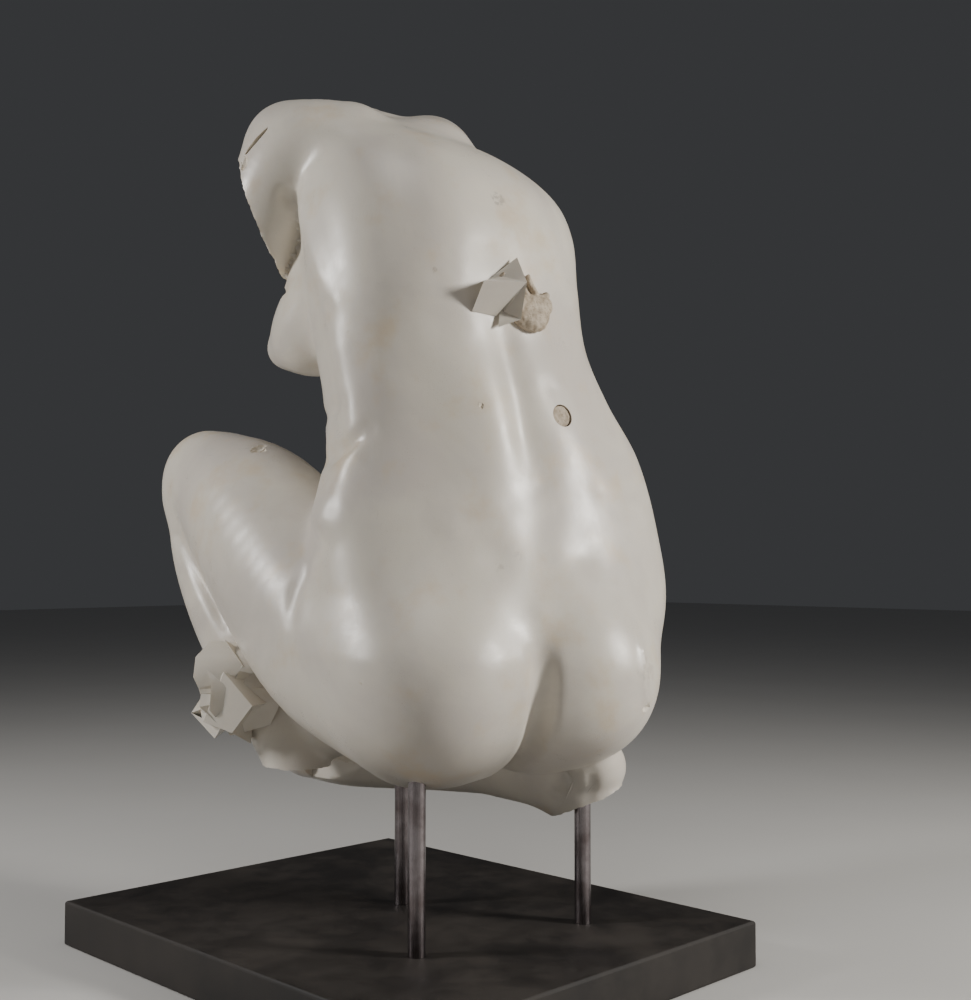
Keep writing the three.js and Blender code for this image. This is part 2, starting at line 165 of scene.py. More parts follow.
class Stroke(Form):
    """What a carver's stroke along a path takes off (positive) or leaves standing (negative)."""

    def __init__(self, path, width, depth, fade):
        path = np.asarray(path, float)
        self.line = refined(np.column_stack([path, np.zeros(len(path))]), STROKE_STEPS)
        self.width = width
        self.depth = depth
        self.fade = fade
        super().__init__(path.min(0), path.max(0), 3 * width, 0.0)

    def measure(self, points):
        gap = chain_distance(points, self.line)
        out = self.depth * np.exp(-(gap / self.width) ** 2)
        if self.fade:
            a, b = self.line[0, :3], self.line[-1, :3]
            ends = np.minimum(np.linalg.norm(points - a, axis=1), np.linalg.norm(points - b, axis=1))
            out *= np.clip(ends / self.fade, 0, 1) ** 0.7
        return out


class Swell(Form):
    """A soft rise (positive height) or hollow (negative) on the surface."""

    def __init__(self, centre, radii, height):
        self.centre = np.asarray(centre, float)
        self.radii = np.asarray(radii, float)
        self.height = height
        r = self.radii.max()
        super().__init__(self.centre - r, self.centre + r, 2 * r, 0.0)

    def measure(self, points):
        q = (points - self.centre) / self.radii
        return -self.height * np.exp(-(q ** 2).sum(1))


class Block:
    """A block that starts at a face, given by a point on it and its outward normal, and runs outwards."""

    def __init__(self, point, normal, across, along, deep):
        self.normal = np.asarray(normal, float) / np.linalg.norm(normal)
        side = np.cross((0, 0, 1), self.normal)
        side = np.array([1.0, 0, 0]) if np.linalg.norm(side) < 0.01 else side / np.linalg.norm(side)
        self.axes = np.column_stack([side, np.cross(self.normal, side), self.normal])
        self.point = np.asarray(point, float)
        self.size = np.array([across, along, deep], float)

    def __call__(self, points, stand_off=0.0):
        """Distance to the block, whose face is moved out by stand_off."""
        q = (points - self.point - self.normal * (stand_off + self.size[2] / 2)) @ self.axes
        gap = np.abs(q) - self.size / 2
        return np.minimum(gap.max(axis=1), 0) + np.linalg.norm(np.maximum(gap, 0), axis=1)


# Horizontal cuts of the trunk: height, centre x and y, half-widths left and right, half-depths front and
# back, and turn about the vertical in degrees.
TRUNK = np.array([
    [205, -25, 60, 120, 110, 80, 80, -20],
    [262, -25, 60, 172, 166, 120, 128, -20],
    [335, -26, 60, 204, 229, 142, 149, -20],
    [405, -28, 60, 222, 256, 150, 151, -20],
    [500, -37, 54, 224, 250, 150, 136, -18],
    [600, -44, 42, 204, 230, 142, 128, -15],
    [675, -36, 27, 191, 202, 140, 128, -12],
    [745, -28, 6, 186, 193, 136, 134, -9],
    [830, -22, -16, 183, 204, 128, 148, -6],
    [905, -20, -38, 176, 217, 118, 157, -5],
    [960, -18, -62, 164, 212, 110, 151, -4],
    [1010, -14, -100, 146, 178, 96, 130, -2],
    [1045, -10, -140, 122, 124, 76, 94, 0],
    [1075, -8, -172, 84, 78, 50, 56, 0],
], float)
TRUNK_POWER = 2.3
# Softness of the trunk's upper and lower edges.
TRUNK_TOP_EDGE, TRUNK_BASE_EDGE = 30, 60


def trunk_distance(points):
    """Distance to the trunk, whose cuts follow the rows of TRUNK along smooth curves."""
    z, rows = TRUNK[:, 0], TRUNK[:, 1:].copy()
    rows[:, -1] = np.radians(rows[:, -1])
    slopes = np.empty_like(rows)
    slopes[1:-1] = (rows[2:] - rows[:-2]) / (z[2:] - z[:-2])[:, None]
    slopes[0] = (rows[1] - rows[0]) / (z[1] - z[0])
    slopes[-1] = (rows[-1] - rows[-2]) / (z[-1] - z[-2])
    h = np.clip(points[:, 2], z[0], z[-1])
    i = np.clip(np.searchsorted(z, h, side="left") - 1, 0, len(z) - 2)
    step = (z[i + 1] - z[i])[:, None]
    t = (h - z[i])[:, None] / step
    t2, t3 = t * t, t * t * t
    cut = (2 * t3 - 3 * t2 + 1) * rows[i] + (t3 - 2 * t2 + t) * step * slopes[i]
    cut += (3 * t2 - 2 * t3) * rows[i + 1] + (t3 - t2) * step * slopes[i + 1]
    cx, cy, left, right, front, back, turn = cut.T
    c, s = np.cos(turn), np.sin(turn)
    dx = c * (points[:, 0] - cx) + s * (points[:, 1] - cy)
    dy = c * (points[:, 1] - cy) - s * (points[:, 0] - cx)
    a = np.where(dx > 0, left, right)
    b = np.where(dy > 0, back, front)
    u, v = np.abs(dx) / a + 1e-9, np.abs(dy) / b + 1e-9
    p = TRUNK_POWER
    rho = (u ** p + v ** p) ** (1 / p)
    steep = np.hypot(u ** (p - 1) / a, v ** (p - 1) / b) * rho ** (1 - p)
    side = np.where(rho < 0.5, -0.5 * np.minimum(a, b), (rho - 1) / np.maximum(steep, 1e-6))
    side = cut_soft(side, points[:, 2] - z[-1], TRUNK_TOP_EDGE)
    return cut_soft(side, z[0] - points[:, 2], TRUNK_BASE_EDGE)


# Middles and poses of the pelvis and the chest, and stations of x, y, z and radius along the limbs.
PELVIS = (-25, 68, 400)
CHEST = (-22, -20, 800)
PELVIS_POSE = turned(-20)
CHEST_POSE = turned(-7, 14)

LEFT_THIGH = [(60, 20, 350, 140), (84, -60, 368, 134), (92, -150, 430, 122), (90, -250, 511, 110),
              (88, -330, 556, 88), (88, -384, 580, 72)]
LEFT_SHANK = [(88, -390, 545, 58), (88, -362, 460, 60), (88, -304, 375, 62), (88, -236, 290, 55),
              (88, -176, 205, 44), (88, -150, 140, 40)]
RIGHT_THIGH = [(-120, 80, 370, 130), (-95, -20, 320, 112), (-50, -180, 240, 90), (-20, -276, 202, 53)]
RIGHT_SHANK = [(-14, -284, 198, 42), (-40, -200, 200, 56), (-80, -70, 202, 54), (-108, 40, 197, 46),
               (-128, 100, 194, 42)]
RIGHT_INSTEP = [(-108, 40, 194, 44), (-126, 100, 176, 42), (-160, 180, 126, 38)]
LEFT_UPPER_ARM = [(70, -90, 1004, 66), (100, -136, 1002, 70), (120, -172, 958, 66), (132, -204, 888, 56)]
RIGHT_UPPER_ARM = [(-70, -84, 1008, 72), (-108, -128, 1036, 66), (-130, -172, 1034, 60),
                   (-150, -230, 1008, 52)]
NECK = [(-18, -108, 996, 68), (-18, -156, 1034, 60), (-16, -222, 1088, 54)]

# Fractured and sawn ends: a point on the face, its outward normal, and how far the missing part reached.
BREAKS = {
    "left_arm": Block((125, -208, 940), (0.62, -0.72, -0.33), 170, 260, 160),
    "right_arm": Block((-140, -195, 1020), (-0.5, -0.8, 0.1), 150, 150, 120),
    "neck": Block((0, -190, 1064), (0, -0.55, 0.83), 150, 190, 100),
    "left_shank": Block((88, -170, 191), (0, 0, -1), 170, 150, 120),
    "right_foot": Block((-137, 150, 156), (-0.3, 0.3, -0.91), 200, 130, 120),
}
# How much longer the skin is carved than the stumps, so that the fractures cut through it.
STUMP_LENGTH = 7

# Furrows, folds and ridges of the skin: path, half-width, depth (negative stands proud) and run-out.
CREASES = [
    # the cleft
    ([(29, 227, 356), (25, 221, 330), (23, 216, 303), (14, 197, 264), (0, 161, 227), (-12, 100, 200)],
     12, 30, 0),
    # the furrow of the spine
    ([(14, 205, 400), (0, 186, 470), (-8, 170, 560), (-4, 154, 640), (8, 140, 720), (20, 130, 790),
      (26, 122, 850), (22, 90, 940)], 34, 4.5, 90),
    ([(-12, 174, 560), (-8, 160, 610), (-4, 150, 670), (4, 142, 730), (14, 136, 790)], 18, 4, 60),
    # the long muscles each side of it
    ([(44, 138, 730), (36, 146, 680), (28, 156, 630), (26, 166, 580), (30, 176, 530)], 34, -4.5, 80),
    ([(-56, 164, 680), (-64, 172, 640), (-84, 186, 590), (-104, 196, 550)], 40, -4, 60),
    ([(104, 88, 740), (104, 100, 660), (98, 122, 570), (100, 146, 500)], 40, 4, 60),
    # edge of the broad back muscle, and the folds of the waist below it
    ([(148, -92, 950), (152, -80, 900), (161, -44, 838), (164, -14, 781)], 18, -5, 40),
    ([(162, -8, 770), (160, -2, 732), (157, 12, 680), (158, 32, 613), (168, 22, 570), (182, 24, 523)],
     24, -5, 50),
    ([(100, -95, 640), (134, -62, 644), (148, -28, 648), (154, 8, 655)], 9, 7, 34),
    ([(130, -70, 586), (146, -38, 588), (157, -5, 592), (156, 25, 602), (150, 50, 618)], 9, 9, 36),
    ([(130, -70, 604), (60, -112, 600), (-60, -112, 600), (-160, -50, 604)], 14, 9, 30),
    # the groin, where the thigh tucks behind the hip
    ([(150, -84, 528), (172, -48, 504), (186, -26, 478), (190, -30, 455), (195, -38, 425), (204, -34, 392)],
     9, 13, 46),
    # back of the knee: the thigh lies on the calf
    ([(120, -408, 505), (142, -380, 496), (152, -357, 484), (148, -330, 452), (144, -300, 418),
      (140, -262, 376)], 9, 6, 24),
    # armpit behind the broken arm
    ([(146, -124, 955), (148, -118, 925), (148, -104, 890), (150, -90, 860)], 10, 9, 26),
    # inner edge of the left shoulder blade
    ([(46, 34, 1002), (42, 62, 977), (34, 88, 937), (42, 115, 870), (54, 122, 800)], 36, -1.5, 60),
    # under the breast on the ribs
    ([(128, -120, 735), (150, -70, 722), (158, -30, 728)], 12, 4, 30),
    # the scar left by a lost join on the right hip
    ([(-100, 268, 366), (-97, 272, 340), (-96, 274, 318), (-104, 270, 300), (-113, 265, 286)], 5, -3.5, 12),
    # hollows each side of the ankle, and the strained tendon between
    ([(-84, 150, 214), (-92, 140, 188), (-96, 130, 166)], 12, 6, 14),
    ([(-112, 176, 196), (-112, 176, 176), (-110, 172, 160)], 6, 5, 10),
]

# Soft rises (positive) and hollows: centre, radii and height.
SWELLS = [
    ((184, -6, 520), (34, 42, 34), 9),
    ((190, -14, 482), (26, 30, 13), -9),
    ((58, 178, 468), (24, 24, 24), -3),
    ((-62, 206, 468), (24, 24, 24), -3),
    ((30, 226, 372), (26, 20, 12), -3),
    ((126, 84, 800), (44, 40, 60), 3),
    ((150, -40, 470), (40, 60, 40), -2),
]


# Widths of the soft blends where the parts of the body meet.
BUTTOCK_BLEND, BREAST_BLEND, TIP_BLEND, UPPER_BREAST_BLEND = 80, 44, 50, 60
SHOULDER_BLEND, RIGHT_ARM_BLEND, NECK_BLEND = 40, 40, 50
KNEE_BLEND, LEFT_CALF_BLEND, WEB_BLEND = 30, 14, 20
HEEL_BLEND, INSTEP_BLEND, RIGHT_CALF_BLEND, RIGHT_LEG_BLEND = 16, 24, 14, 16


class Breast:
    """A breast: its mass, its tip and the swell that carries it. Side is 1 on the left and -1 on the right."""

    def __init__(self, side, x, y, z):
        turn = turned(-7 + 8 * side, 26)
        tip = placed(CHEST, CHEST_POSE, (x + 13 * side, y - 76, z - 4))
        upper = placed(CHEST, CHEST_POSE, (x - 4 * side, y + 34, z + 50))
        self.main = Ellipsoid(placed(CHEST, CHEST_POSE, (x, y, z)), (66, 80, 62), turn)
        self.tip = Ellipsoid(tip, (26, 30, 25), CHEST_POSE)
        self.upper = Ellipsoid(upper, (60, 50, 62), CHEST_POSE)

    def __call__(self, points):
        lower = join_soft(self.main(points), self.tip(points), TIP_BLEND)
        return join_soft(lower, self.upper(points), UPPER_BREAST_BLEND)


class CarvedBody:
    """Distance to the whole carved figure, with the finer modelling of the skin."""

    def __init__(self):
        self.buttocks = [
            Ellipsoid(placed(PELVIS, PELVIS_POSE, (98, 64, -84)), (114, 116, 114), PELVIS_POSE),
            Ellipsoid(placed(PELVIS, PELVIS_POSE, (-90, 62, -84)), (112, 116, 110), PELVIS_POSE),
        ]
        self.breasts = [Breast(1, 98, -122, 10), Breast(-1, -92, -114, 14)]
        self.left_arm = Limb(LEFT_UPPER_ARM)
        self.left_shoulder = Ellipsoid((104, -176, 1022), (56, 60, 60))
        self.right_arm = Limb(RIGHT_UPPER_ARM)
        self.neck = Limb(NECK)
        self.left_thigh = Limb(LEFT_THIGH, 0.88)
        self.left_shank = Limb(LEFT_SHANK)
        self.left_knee = Ellipsoid((88, -403, 566), (56, 46, 64))
        self.web = Ellipsoid((50, -170, 285), (62, 100, 80), turned(0, -35))
        self.right_thigh = Limb(RIGHT_THIGH, 0.95)
        self.right_shank = Limb(RIGHT_SHANK)
        self.right_instep = Limb(RIGHT_INSTEP)
        self.right_heel = Ellipsoid((-143, 150, 198), (43, 44, 42))
        self.creases = [Stroke(*crease) for crease in CREASES]
        self.swells = [Swell(*swell) for swell in SWELLS]

    def __call__(self, p):
        d = trunk_distance(p)
        for form in self.buttocks:
            d = join_soft(d, form(p), BUTTOCK_BLEND)
        for form in self.breasts:
            d = join_soft(d, form(p), BREAST_BLEND)
        # the armpit is a deep pocket that runs out over the top of the shoulder
        arm = join_soft(self.left_arm(p), self.left_shoulder(p), SHOULDER_BLEND)
        d = join_soft(d, arm, 10 + 40 * np.clip((p[:, 2] - 950) / 60, 0, 1))
        d = join_soft(d, self.right_arm(p), RIGHT_ARM_BLEND)
        d = join_soft(d, self.neck(p), NECK_BLEND)
        shank = join_soft(self.left_shank(p), self.left_knee(p), KNEE_BLEND)
        leg = join_soft(join_soft(self.left_thigh(p), shank, LEFT_CALF_BLEND), self.web(p), WEB_BLEND)
        # the thigh tucks in crisply at the hip and melts into the trunk further down
        d = join_soft(d, leg, 20 + 80 * np.clip((440 - p[:, 2]) / 90, 0, 1))
        foot = join_soft(self.right_instep(p), self.right_heel(p), HEEL_BLEND)
        shank = join_soft(self.right_shank(p), foot, INSTEP_BLEND)
        leg = join_soft(self.right_thigh(p), shank, RIGHT_CALF_BLEND)
        d = join_soft(d, leg, RIGHT_LEG_BLEND)
        for detail in self.creases + self.swells:
            d = d + detail(p)
        for block in BREAKS.values():
            d = np.maximum(d, -block(p, STUMP_LENGTH))
        return d


# ---------------------------------------------------------------- mesh helpers
def read_points(mesh):
    points = np.empty(len(mesh.vertices) * 3, dtype=np.float32)
    mesh.vertices.foreach_get("co", points)
    return points.reshape(-1, 3).astype(float)


def write_points(mesh, points):
    mesh.vertices.foreach_set("co", points.astype(np.float32).ravel())
    mesh.update()


def read_normals(mesh):
    normals = np.empty(len(mesh.vertices) * 3, dtype=np.float32)
    mesh.vertices.foreach_get("normal", normals)
    return normals.reshape(-1, 3).astype(float)


def read_edges(mesh):
    edges = np.empty(len(mesh.edges) * 2, dtype=np.int32)
    mesh.edges.foreach_get("vertices", edges)
    return edges.reshape(-1, 2)


def neighbour_mean(points, edges):
    """The middle of each vertex's neighbours."""
    total = np.zeros_like(points)
    count = np.zeros(len(points))
    for a, b in ((0, 1), (1, 0)):
        for axis in range(3):
            total[:, axis] += np.bincount(edges[:, a], points[edges[:, b], axis], len(points))
        count += np.bincount(edges[:, a], minlength=len(points))
    return total / np.maximum(count, 1)[:, None]


def new_object(name, mesh):
    obj = bpy.data.objects.new(name, mesh)
    bpy.context.scene.collection.objects.link(obj)
    return obj


def applied(obj):
    """The object's mesh with its modifiers carried out, kept in place of the old one."""
    graph = bpy.context.evaluated_depsgraph_get()
    graph.update()
    result = obj.evaluated_get(graph)
    mesh = bpy.data.meshes.new_from_object(result, preserve_all_data_layers=True, depsgraph=graph)
    obj.modifiers.clear()
    old = obj.data
    obj.data = mesh
    mesh.name = obj.name
    bpy.data.meshes.remove(old)
    return mesh


def smooth_shaded(mesh):
    mesh.polygons.foreach_set("use_smooth", [True] * len(mesh.polygons))


def merged_copy(node, name):
    """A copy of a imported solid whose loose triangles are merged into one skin."""
    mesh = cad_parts[node].data.copy()
    shape = bmesh.new()
    shape.from_mesh(mesh)
    bmesh.ops.remove_doubles(shape, verts=shape.verts, dist=1e-5)
    shape.to_mesh(mesh)
    shape.free()
    mesh.materials.clear()
    return new_object(name, mesh)


def even_net(obj, name, size):
    """The object's mesh after a remesh into a net of one size."""
    remesh = obj.modifiers.new(name, "REMESH")
    remesh.mode = "VOXEL"
    remesh.voxel_size = size
    return applied(obj)


# Each pass evens the net by a share, and moves a vertex by no more than a limit in metres.
SETTLE_PASSES, SETTLE_EVENING, SETTLE_LIMIT = 8, 0.5, 0.008
# The least slope that a distance is divided by, so that creases do not throw vertices out.
LEAST_SLOPE = 0.5


def settle(mesh, form):
    """Vertices move onto the carved form along their normals while the net stays even."""
    edges = read_edges(mesh)
    points = read_points(mesh)
    for _ in range(SETTLE_PASSES):
        normals = read_normals(mesh)
        pull = neighbour_mean(points, edges) - points
        pull -= normals * (pull * normals).sum(1)[:, None]
        points = points + SETTLE_EVENING * pull
        local = points * 1000 - FIGURE_ORIGIN
        value = form(local)
        slope = form(local + normals) - value
        move = value / np.maximum(np.abs(slope), LEAST_SLOPE) / 1000
        points = points - normals * np.clip(move, -SETTLE_LIMIT, SETTLE_LIMIT)[:, None]
        write_points(mesh, points)


def to_world(figure_point):
    """Metres in the object's frame from millimetres in the figure's."""
    return Vector((np.asarray(figure_point, float) + FIGURE_ORIGIN) / 1000)


def pose_along(axis):
    """A pose whose Z runs along an axis."""
    return np.array(Vector(axis).to_track_quat("Z", "Y").to_matrix())


def set_frame(shape, pose, centre, verts=None):
    """Turns and places a bmesh, or some of its vertices, made at the origin."""
    matrix = Matrix.Translation(to_world(centre)) @ Matrix(pose.tolist()).to_4x4()
    bmesh.ops.transform(shape, matrix=matrix, verts=verts or shape.verts)


def finished(shape, name, material):
    """An object from a bmesh whose faces all point outwards."""
    bmesh.ops.recalc_face_normals(shape, faces=shape.faces)
    mesh = bpy.data.meshes.new(name)
    shape.to_mesh(mesh)
    shape.free()
    mesh.materials.append(material)
    return new_object(name, mesh)


# Broken stone: height of its lumps and of its grit in metres, and the grid that carries them in millimetres.
FRACTURE_LUMPS, FRACTURE_GRIT, FRACTURE_STEP = 0.004, 0.0012, 3.4


def fractured_block(name, block, material):
    """A block whose near face is broken stone, for taking away a missing part."""
    across, along, deep = block.size / 1000
    shape = bmesh.new()
    columns, rows = (int(side * 1000 / FRACTURE_STEP) for side in (across, along))
    bmesh.ops.create_grid(shape, x_segments=columns, y_segments=rows, size=0.5)
    bmesh.ops.scale(shape, vec=(across, along, 1), verts=shape.verts)
    near = list(shape.verts)
    far = bmesh.ops.extrude_face_region(shape, geom=shape.faces[:])
    lifted = [v for v in far["geom"] if isinstance(v, bmesh.types.BMVert)]
    bmesh.ops.translate(shape, vec=(0, 0, deep), verts=lifted)
    seed = Vector(block.point / 37)
    for vert in near:
        p = vert.co
        wave = noise.noise(p * 22 + seed) * FRACTURE_LUMPS
        ridge = (0.5 - abs(noise.noise(p * 60 + seed))) * FRACTURE_LUMPS * 0.8
        vert.co.z += wave + ridge + noise.noise(p * 260 + seed) * FRACTURE_GRIT
    set_frame(shape, block.axes, block.point)
    return finished(shape, name, material)


def round_bar(name, radius, point, axis, low, high, material, sides=48):
    """A round bar along an axis, from low to high past a point, in the figure's millimetres."""
    shape = bmesh.new()
    bmesh.ops.create_cone(shape, cap_ends=True, segments=sides, radius1=radius / 1000, radius2=radius / 1000,
                          depth=(high - low) / 1000)
    bmesh.ops.translate(shape, vec=(0, 0, (low + high) / 2000), verts=shape.verts)
    set_frame(shape, pose_along(axis), point)
    return finished(shape, name, material)


def chiselled(name, centre, radii, pose, material, rough, subdivisions=4):
    """A lumpy ball for chips and pits."""
    shape = bmesh.new()
    bmesh.ops.create_icosphere(shape, subdivisions=subdivisions, radius=1)
    seed = Vector(np.asarray(centre, float) / 29)
    for vert in shape.verts:
        broad = noise.noise(vert.co * 2.3 + seed)
        fine = noise.noise(vert.co * 7 + seed)
        vert.co *= 1 + rough * broad + 0.4 * rough * fine
    bmesh.ops.scale(shape, vec=[r / 1000 for r in radii], verts=shape.verts)
    set_frame(shape, pose, centre)
    return finished(shape, name, material)


def boolean(obj, tool, operation):
    """Joins a tool to the object or takes it away; the tool's own finish stays on the faces that it makes."""
    step = obj.modifiers.new(tool.name, "BOOLEAN")
    step.operation = operation
    step.solver = "MANIFOLD"
    step.material_mode = "TRANSFER"
    step.object = tool


# ---------------------------------------------------------------- shader helpers
class Nodes:
    """Short words for building a material's node tree."""

    def __init__(self, name):
        self.material = bpy.data.materials.new(name)
        self.material.use_nodes = True
        self.tree = self.material.node_tree
        self.shader = self.tree.nodes["Principled BSDF"]
        self.object = self.add("ShaderNodeTexCoord").outputs["Object"]

    def add(self, kind, **values):
        node = self.tree.nodes.new(kind)
        for key, value in values.items():
            setattr(node, key, value)
        return node

    def link(self, source, target):
        self.tree.links.new(source, target)

    def noise(self, scale, detail, rough, vector=None, distortion=0.0):
        node = self.add("ShaderNodeTexNoise")
        node.inputs["Scale"].default_value = scale
        node.inputs["Detail"].default_value = detail
        node.inputs["Roughness"].default_value = rough
        node.inputs["Distortion"].default_value = distortion
        self.link(vector or self.object, node.inputs["Vector"])
        return node.outputs["Fac"]

    def cells(self, scale):
        node = self.add("ShaderNodeTexVoronoi")
        node.inputs["Scale"].default_value = scale
        self.link(self.object, node.inputs["Vector"])
        return node.outputs["Distance"]

    def span(self, value, low, high, to_low=0.0, to_high=1.0):
        """Maps low..high of a value to to_low..to_high and holds it there."""
        node = self.add("ShaderNodeMapRange", interpolation_type="SMOOTHSTEP")
        self.link(value, node.inputs["Value"])
        ends = ("From Min", "From Max", "To Min", "To Max")
        for key, number in zip(ends, (low, high, to_low, to_high)):
            node.inputs[key].default_value = number
        return node.outputs["Result"]

    def math(self, operation, a, b):
        node = self.add("ShaderNodeMath", operation=operation)
        for socket, value in zip(node.inputs, (a, b)):
            if isinstance(value, (int, float)):
                socket.default_value = value
            else:
                self.link(value, socket)
        return node.outputs["Value"]

    def mix(self, factor, a, b):
        """Colour a where the factor is 0 and b where it is 1."""
        node = self.add("ShaderNodeMix", data_type="RGBA")
        if isinstance(factor, (int, float)):
            node.inputs["Factor"].default_value = factor
        else:
            self.link(factor, node.inputs["Factor"])
        for socket, value in ((node.inputs[6], a), (node.inputs[7], b)):
            if isinstance(value, tuple):
                socket.default_value = (*value, 1.0)
            else:
                self.link(value, socket)
        return node.outputs[2]

    def bump(self, height, strength, distance, normal=None):
        node = self.add("ShaderNodeBump")
        node.inputs["Strength"].default_value = strength
        node.inputs["Distance"].default_value = distance
        self.link(height, node.inputs["Height"])
        if normal is not None:
            self.link(normal, node.inputs["Normal"])
        return node.outputs["Normal"]

    def spot(self, place, radius, wobble):
        """1 inside an uneven spot round a place in the figure's frame, in millimetres."""
        node = self.add("ShaderNodeVectorMath", operation="DISTANCE")
        self.link(self.object, node.inputs[0])
        node.inputs[1].default_value = tuple((np.asarray(place) + FIGURE_ORIGIN) / 1000)
        uneven = self.math("ADD", node.outputs["Value"], self.math("MULTIPLY", wobble, radius / 1000))
        return self.span(uneven, radius / 1000, 1.5 * radius / 1000, 1.0, 0.0)

    def set(self, **values):
        for key, value in values.items():
            socket = self.shader.inputs[key.replace("_", " ")]
            if isinstance(value, (int, float, tuple)):
                socket.default_value = value
            else:
                self.link(value, socket)


# Colours that stay as they are, whatever the settings.
WARM_STAIN, RASP_MARK = (0.66, 0.52, 0.34), (0.50, 0.44, 0.36)
SMUDGE_GREY, FLECK_BROWN = (0.33, 0.28, 0.23), (0.38, 0.27, 0.16)
BREAK_SHADE, BREAK_LIGHT, BREAK_DIRT = (0.66, 0.58, 0.46), (0.8, 0.75, 0.66), (0.42, 0.34, 0.25)
WEATHERED_DIRT = (0.2, 0.15, 0.1)
STEEL_LIGHT, STEEL_DARK = (0.30, 0.27, 0.28), (0.16, 0.13, 0.13)
PAINT_WORN, PAINT_DUST = (0.035, 0.029, 0.025), (0.16, 0.12, 0.08)

# Grey smudges on the skin: place in the figure's frame, radius and strength.
SMUDGES = [
    ((-8, 113, 918), 13, 0.55),
    ((93, 104, 813), 5, 0.6),
    ((54, 177, 454), 9, 0.3),
    ((26, 183, 469), 10, 0.3),
    ((50, 140, 649), 5, 0.5),
    ((112, -222, 618), 26, 0.25),
    ((-104, 268, 330), 24, 0.25),
]


def polished_marble(settings):
    """Clean marble: warm clouds, rasp marks, smudges and flecks under a soft polish."""
    n = Nodes("polished_marble")
    cloud = n.noise(5.0, 5, 0.55, distortion=0.6)
    base = n.mix(n.span(cloud, 0.38, 0.66), tuple(settings.marble_light), tuple(settings.marble_shade))
    base = n.mix(n.span(n.noise(13.0, 5, 0.62), 0.52, 0.74, 0, 0.5), base, WARM_STAIN)
    # fine drawn-out marks of the rasp and a few grey smudges
    drawn = n.add("ShaderNodeMapping")
    drawn.inputs["Scale"].default_value = (1.0, 1.0, 0.12)
    drawn.inputs["Rotation"].default_value = (0.5, 0.4, 0.0)
    n.link(n.object, drawn.inputs["Vector"])
    rasp = n.noise(260.0, 4, 0.7, drawn.outputs["Vector"])
    base = n.mix(n.span(rasp, 0.60, 0.78, 0, 0.22), base, RASP_MARK)
    wobble = n.noise(70.0, 4, 0.65)
    smudge = n.noise(160.0, 4, 0.7)
    for place, radius, strength in SMUDGES:
        mask = n.math("MULTIPLY", n.spot(place, radius, wobble), n.span(smudge, 0.42, 0.6))
        base = n.mix(n.math("MULTIPLY", mask, strength), base, SMUDGE_GREY)
    fleck = n.cells(330.0)
    scatter = n.span(n.noise(24.0, 3, 0.6), 0.5, 0.66)
    base = n.mix(n.math("MULTIPLY", n.span(fleck, 0.0, 0.2, 0.6, 0.0), scatter), base, FLECK_BROWN)
    grain = n.noise(760.0, 2, 0.6)
    n.set(Base_Color=base)
    polish = n.span(n.noise(30.0, 4, 0.6), 0.3, 0.7, 0.22, 0.32)
    n.set(Roughness=n.math("ADD", polish, n.math("MULTIPLY", grain, 0.12)))
    n.set(Subsurface_Weight=0.1, Subsurface_Scale=0.008, Subsurface_Radius=(1.0, 0.75, 0.5))
    n.set(Specular_IOR_Level=0.5, IOR=1.5)
    soft = n.bump(n.noise(45.0, 3, 0.5), 0.06, 0.002)
    tooled = n.bump(rasp, 0.05, 0.0008, soft)
    n.set(Normal=n.bump(grain, 0.16, 0.0008, tooled))
    return n.material


def broken_marble():
    """Fresh, rough stone of the fractures and chips."""
    n = Nodes("broken_marble")
    lump = n.noise(60.0, 6, 0.65)
    base = n.mix(n.span(lump, 0.35, 0.65), BREAK_SHADE, BREAK_LIGHT)
    base = n.mix(n.span(n.noise(210.0, 4, 0.7), 0.55, 0.75, 0, 0.6), base, BREAK_DIRT)
    n.set(Base_Color=base, Roughness=0.78)
    coarse = n.bump(lump, 0.5, 0.006)
    n.set(Normal=n.bump(n.noise(500.0, 5, 0.7), 0.35, 0.0015, coarse))
    return n.material


def weathered_marble(settings):
    """Brown unpolished stone of the small hand, the strut and the plug."""
    n = Nodes("weathered_marble")
    lump = n.noise(120.0, 5, 0.6)
    base = n.mix(n.span(lump, 0.35, 0.65), tuple(settings.weathered_light), tuple(settings.weathered_dark))
    base = n.mix(n.span(n.noise(420.0, 3, 0.6), 0.55, 0.7, 0, 0.7), base, WEATHERED_DIRT)
    n.set(Base_Color=base, Roughness=0.68)
    n.set(Normal=n.bump(n.noise(380.0, 5, 0.65), 0.35, 0.001))
    return n.material


def rod_steel():
    """Dark drawn steel with streaks along the rod."""
    n = Nodes("rod_steel")
    stretch = n.add("ShaderNodeMapping")
    stretch.inputs["Scale"].default_value = (1, 1, 0.02)
    n.link(n.object, stretch.inputs["Vector"])
    streaks = n.noise(900.0, 3, 0.6, stretch.outputs["Vector"])
    smudge = n.noise(25.0, 4, 0.6)
    base = n.mix(n.span(smudge, 0.35, 0.7), STEEL_LIGHT, STEEL_DARK)
    n.set(Base_Color=base, Metallic=1.0)
    drawn = n.span(streaks, 0.3, 0.7, 0.18, 0.30)
    n.set(Roughness=n.math("ADD", drawn, n.math("MULTIPLY", smudge, 0.1)))
    n.set(Normal=n.bump(streaks, 0.08, 0.0004))
    return n.material


